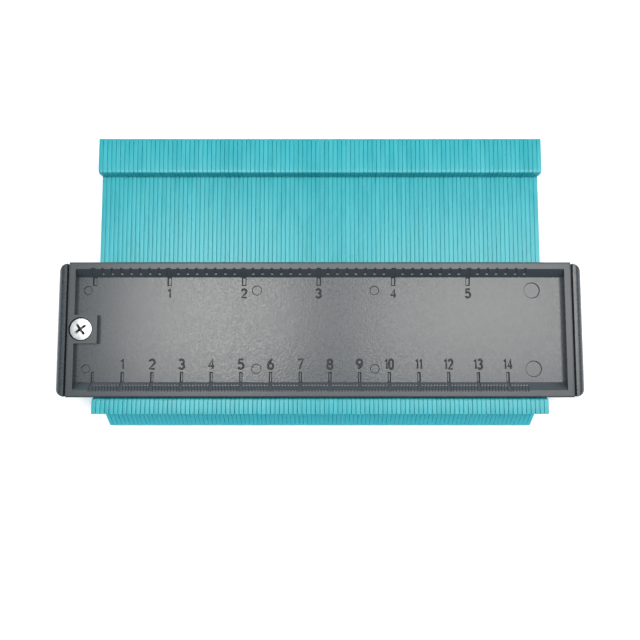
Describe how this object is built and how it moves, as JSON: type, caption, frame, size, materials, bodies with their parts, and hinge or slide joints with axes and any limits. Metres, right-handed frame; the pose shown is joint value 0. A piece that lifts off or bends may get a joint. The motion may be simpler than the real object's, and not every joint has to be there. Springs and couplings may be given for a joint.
{
  "type": "contour gauge",
  "caption": "Contour gauge: a flat black two-part body with inch and centimetre scales holds a stack of thin sliding teal leaves that take up a profile for tracing.",
  "frame": {"origin": "middle of the plane of the back rim, which the gauge lies on", "axes": "+X along the body, to the right seen from the front, +Y along the slide of the leaves towards their heads, +Z out of the front face"},
  "size_m": [0.18, 0.105, 0.02],
  "materials": {
    "body_plastic": "satin",
    "leaf_plastic": "gloss",
    "screw_steel": "bright zinc"
  },
  "bodies": {
    "body": {"front_shell": "body_plastic", "back_shell": "body_plastic", "front_screw": "screw_steel", "back_screw": "screw_steel"},
    "leaf_pair_01": {"leaf_pair_01": "leaf_plastic"},
    "leaf_pair_02": {"leaf_pair_02": "leaf_plastic"},
    "leaf_pair_03": {"leaf_pair_03": "leaf_plastic"},
    "leaf_pair_04": {"leaf_pair_04": "leaf_plastic"},
    "leaf_pair_05": {"leaf_pair_05": "leaf_plastic"},
    "leaf_pair_06": {"leaf_pair_06": "leaf_plastic"},
    "leaf_pair_07": {"leaf_pair_07": "leaf_plastic"},
    "leaf_pair_08": {"leaf_pair_08": "leaf_plastic"},
    "leaf_pair_09": {"leaf_pair_09": "leaf_plastic"},
    "leaf_pair_10": {"leaf_pair_10": "leaf_plastic"},
    "leaf_pair_11": {"leaf_pair_11": "leaf_plastic"},
    "leaf_pair_12": {"leaf_pair_12": "leaf_plastic"},
    "leaf_pair_13": {"leaf_pair_13": "leaf_plastic"},
    "leaf_pair_14": {"leaf_pair_14": "leaf_plastic"},
    "leaf_pair_15": {"leaf_pair_15": "leaf_plastic"},
    "leaf_pair_16": {"leaf_pair_16": "leaf_plastic"},
    "leaf_pair_17": {"leaf_pair_17": "leaf_plastic"},
    "leaf_pair_18": {"leaf_pair_18": "leaf_plastic"},
    "leaf_pair_19": {"leaf_pair_19": "leaf_plastic"},
    "leaf_pair_20": {"leaf_pair_20": "leaf_plastic"},
    "leaf_pair_21": {"leaf_pair_21": "leaf_plastic"},
    "leaf_pair_22": {"leaf_pair_22": "leaf_plastic"},
    "leaf_pair_23": {"leaf_pair_23": "leaf_plastic"},
    "leaf_pair_24": {"leaf_pair_24": "leaf_plastic"},
    "leaf_pair_25": {"leaf_pair_25": "leaf_plastic"},
    "leaf_pair_26": {"leaf_pair_26": "leaf_plastic"},
    "leaf_pair_27": {"leaf_pair_27": "leaf_plastic"},
    "leaf_pair_28": {"leaf_pair_28": "leaf_plastic"},
    "leaf_pair_29": {"leaf_pair_29": "leaf_plastic"},
    "leaf_pair_30": {"leaf_pair_30": "leaf_plastic"},
    "leaf_pair_31": {"leaf_pair_31": "leaf_plastic"},
    "leaf_pair_32": {"leaf_pair_32": "leaf_plastic"},
    "leaf_pair_33": {"leaf_pair_33": "leaf_plastic"},
    "leaf_pair_34": {"leaf_pair_34": "leaf_plastic"},
    "leaf_pair_35": {"leaf_pair_35": "leaf_plastic"},
    "leaf_pair_36": {"leaf_pair_36": "leaf_plastic"},
    "leaf_pair_37": {"leaf_pair_37": "leaf_plastic"},
    "leaf_pair_38": {"leaf_pair_38": "leaf_plastic"},
    "leaf_pair_39": {"leaf_pair_39": "leaf_plastic"},
    "leaf_pair_40": {"leaf_pair_40": "leaf_plastic"},
    "leaf_pair_41": {"leaf_pair_41": "leaf_plastic"},
    "leaf_pair_42": {"leaf_pair_42": "leaf_plastic"},
    "leaf_pair_43": {"leaf_pair_43": "leaf_plastic"},
    "leaf_pair_44": {"leaf_pair_44": "leaf_plastic"},
    "leaf_pair_45": {"leaf_pair_45": "leaf_plastic"},
    "leaf_pair_46": {"leaf_pair_46": "leaf_plastic"},
    "leaf_pair_47": {"leaf_pair_47": "leaf_plastic"},
    "leaf_pair_48": {"leaf_pair_48": "leaf_plastic"},
    "leaf_pair_49": {"leaf_pair_49": "leaf_plastic"},
    "leaf_pair_50": {"leaf_pair_50": "leaf_plastic"},
    "leaf_pair_51": {"leaf_pair_51": "leaf_plastic"}
  },
  "joints": [
    {"name": "leaf_slide_01", "type": "slide", "parent": "body", "child": "leaf_pair_01", "axis": [0, 1, 0], "range_m": [-0.031, 0]},
    {"name": "leaf_slide_02", "type": "slide", "parent": "body", "child": "leaf_pair_02", "axis": [0, 1, 0], "range_m": [-0.031, 0]},
    {"name": "leaf_slide_03", "type": "slide", "parent": "body", "child": "leaf_pair_03", "axis": [0, 1, 0], "range_m": [-0.031, 0]},
    {"name": "leaf_slide_04", "type": "slide", "parent": "body", "child": "leaf_pair_04", "axis": [0, 1, 0], "range_m": [-0.031, 0]},
    {"name": "leaf_slide_05", "type": "slide", "parent": "body", "child": "leaf_pair_05", "axis": [0, 1, 0], "range_m": [-0.031, 0]},
    {"name": "leaf_slide_06", "type": "slide", "parent": "body", "child": "leaf_pair_06", "axis": [0, 1, 0], "range_m": [-0.031, 0]},
    {"name": "leaf_slide_07", "type": "slide", "parent": "body", "child": "leaf_pair_07", "axis": [0, 1, 0], "range_m": [-0.031, 0]},
    {"name": "leaf_slide_08", "type": "slide", "parent": "body", "child": "leaf_pair_08", "axis": [0, 1, 0], "range_m": [-0.031, 0]},
    {"name": "leaf_slide_09", "type": "slide", "parent": "body", "child": "leaf_pair_09", "axis": [0, 1, 0], "range_m": [-0.031, 0]},
    {"name": "leaf_slide_10", "type": "slide", "parent": "body", "child": "leaf_pair_10", "axis": [0, 1, 0], "range_m": [-0.031, 0]},
    {"name": "leaf_slide_11", "type": "slide", "parent": "body", "child": "leaf_pair_11", "axis": [0, 1, 0], "range_m": [-0.031, 0]},
    {"name": "leaf_slide_12", "type": "slide", "parent": "body", "child": "leaf_pair_12", "axis": [0, 1, 0], "range_m": [-0.031, 0]},
    {"name": "leaf_slide_13", "type": "slide", "parent": "body", "child": "leaf_pair_13", "axis": [0, 1, 0], "range_m": [-0.031, 0]},
    {"name": "leaf_slide_14", "type": "slide", "parent": "body", "child": "leaf_pair_14", "axis": [0, 1, 0], "range_m": [-0.031, 0]},
    {"name": "leaf_slide_15", "type": "slide", "parent": "body", "child": "leaf_pair_15", "axis": [0, 1, 0], "range_m": [-0.031, 0]},
    {"name": "leaf_slide_16", "type": "slide", "parent": "body", "child": "leaf_pair_16", "axis": [0, 1, 0], "range_m": [-0.031, 0]},
    {"name": "leaf_slide_17", "type": "slide", "parent": "body", "child": "leaf_pair_17", "axis": [0, 1, 0], "range_m": [-0.031, 0]},
    {"name": "leaf_slide_18", "type": "slide", "parent": "body", "child": "leaf_pair_18", "axis": [0, 1, 0], "range_m": [-0.031, 0]},
    {"name": "leaf_slide_19", "type": "slide", "parent": "body", "child": "leaf_pair_19", "axis": [0, 1, 0], "range_m": [-0.031, 0]},
    {"name": "leaf_slide_20", "type": "slide", "parent": "body", "child": "leaf_pair_20", "axis": [0, 1, 0], "range_m": [-0.031, 0]},
    {"name": "leaf_slide_21", "type": "slide", "parent": "body", "child": "leaf_pair_21", "axis": [0, 1, 0], "range_m": [-0.031, 0]},
    {"name": "leaf_slide_22", "type": "slide", "parent": "body", "child": "leaf_pair_22", "axis": [0, 1, 0], "range_m": [-0.031, 0]},
    {"name": "leaf_slide_23", "type": "slide", "parent": "body", "child": "leaf_pair_23", "axis": [0, 1, 0], "range_m": [-0.031, 0]},
    {"name": "leaf_slide_24", "type": "slide", "parent": "body", "child": "leaf_pair_24", "axis": [0, 1, 0], "range_m": [-0.031, 0]},
    {"name": "leaf_slide_25", "type": "slide", "parent": "body", "child": "leaf_pair_25", "axis": [0, 1, 0], "range_m": [-0.031, 0]},
    {"name": "leaf_slide_26", "type": "slide", "parent": "body", "child": "leaf_pair_26", "axis": [0, 1, 0], "range_m": [-0.031, 0]},
    {"name": "leaf_slide_27", "type": "slide", "parent": "body", "child": "leaf_pair_27", "axis": [0, 1, 0], "range_m": [-0.031, 0]},
    {"name": "leaf_slide_28", "type": "slide", "parent": "body", "child": "leaf_pair_28", "axis": [0, 1, 0], "range_m": [-0.031, 0]},
    {"name": "leaf_slide_29", "type": "slide", "parent": "body", "child": "leaf_pair_29", "axis": [0, 1, 0], "range_m": [-0.031, 0]},
    {"name": "leaf_slide_30", "type": "slide", "parent": "body", "child": "leaf_pair_30", "axis": [0, 1, 0], "range_m": [-0.031, 0]},
    {"name": "leaf_slide_31", "type": "slide", "parent": "body", "child": "leaf_pair_31", "axis": [0, 1, 0], "range_m": [-0.031, 0]},
    {"name": "leaf_slide_32", "type": "slide", "parent": "body", "child": "leaf_pair_32", "axis": [0, 1, 0], "range_m": [-0.031, 0]},
    {"name": "leaf_slide_33", "type": "slide", "parent": "body", "child": "leaf_pair_33", "axis": [0, 1, 0], "range_m": [-0.031, 0]},
    {"name": "leaf_slide_34", "type": "slide", "parent": "body", "child": "leaf_pair_34", "axis": [0, 1, 0], "range_m": [-0.031, 0]},
    {"name": "leaf_slide_35", "type": "slide", "parent": "body", "child": "leaf_pair_35", "axis": [0, 1, 0], "range_m": [-0.031, 0]},
    {"name": "leaf_slide_36", "type": "slide", "parent": "body", "child": "leaf_pair_36", "axis": [0, 1, 0], "range_m": [-0.031, 0]},
    {"name": "leaf_slide_37", "type": "slide", "parent": "body", "child": "leaf_pair_37", "axis": [0, 1, 0], "range_m": [-0.031, 0]},
    {"name": "leaf_slide_38", "type": "slide", "parent": "body", "child": "leaf_pair_38", "axis": [0, 1, 0], "range_m": [-0.031, 0]},
    {"name": "leaf_slide_39", "type": "slide", "parent": "body", "child": "leaf_pair_39", "axis": [0, 1, 0], "range_m": [-0.031, 0]},
    {"name": "leaf_slide_40", "type": "slide", "parent": "body", "child": "leaf_pair_40", "axis": [0, 1, 0], "range_m": [-0.031, 0]},
    {"name": "leaf_slide_41", "type": "slide", "parent": "body", "child": "leaf_pair_41", "axis": [0, 1, 0], "range_m": [-0.031, 0]},
    {"name": "leaf_slide_42", "type": "slide", "parent": "body", "child": "leaf_pair_42", "axis": [0, 1, 0], "range_m": [-0.031, 0]},
    {"name": "leaf_slide_43", "type": "slide", "parent": "body", "child": "leaf_pair_43", "axis": [0, 1, 0], "range_m": [-0.031, 0]},
    {"name": "leaf_slide_44", "type": "slide", "parent": "body", "child": "leaf_pair_44", "axis": [0, 1, 0], "range_m": [-0.031, 0]},
    {"name": "leaf_slide_45", "type": "slide", "parent": "body", "child": "leaf_pair_45", "axis": [0, 1, 0], "range_m": [-0.031, 0]},
    {"name": "leaf_slide_46", "type": "slide", "parent": "body", "child": "leaf_pair_46", "axis": [0, 1, 0], "range_m": [-0.031, 0]},
    {"name": "leaf_slide_47", "type": "slide", "parent": "body", "child": "leaf_pair_47", "axis": [0, 1, 0], "range_m": [-0.031, 0]},
    {"name": "leaf_slide_48", "type": "slide", "parent": "body", "child": "leaf_pair_48", "axis": [0, 1, 0], "range_m": [-0.031, 0]},
    {"name": "leaf_slide_49", "type": "slide", "parent": "body", "child": "leaf_pair_49", "axis": [0, 1, 0], "range_m": [-0.031, 0]},
    {"name": "leaf_slide_50", "type": "slide", "parent": "body", "child": "leaf_pair_50", "axis": [0, 1, 0], "range_m": [-0.031, 0]},
    {"name": "leaf_slide_51", "type": "slide", "parent": "body", "child": "leaf_pair_51", "axis": [0, 1, 0], "range_m": [-0.031, 0]}
  ]
}
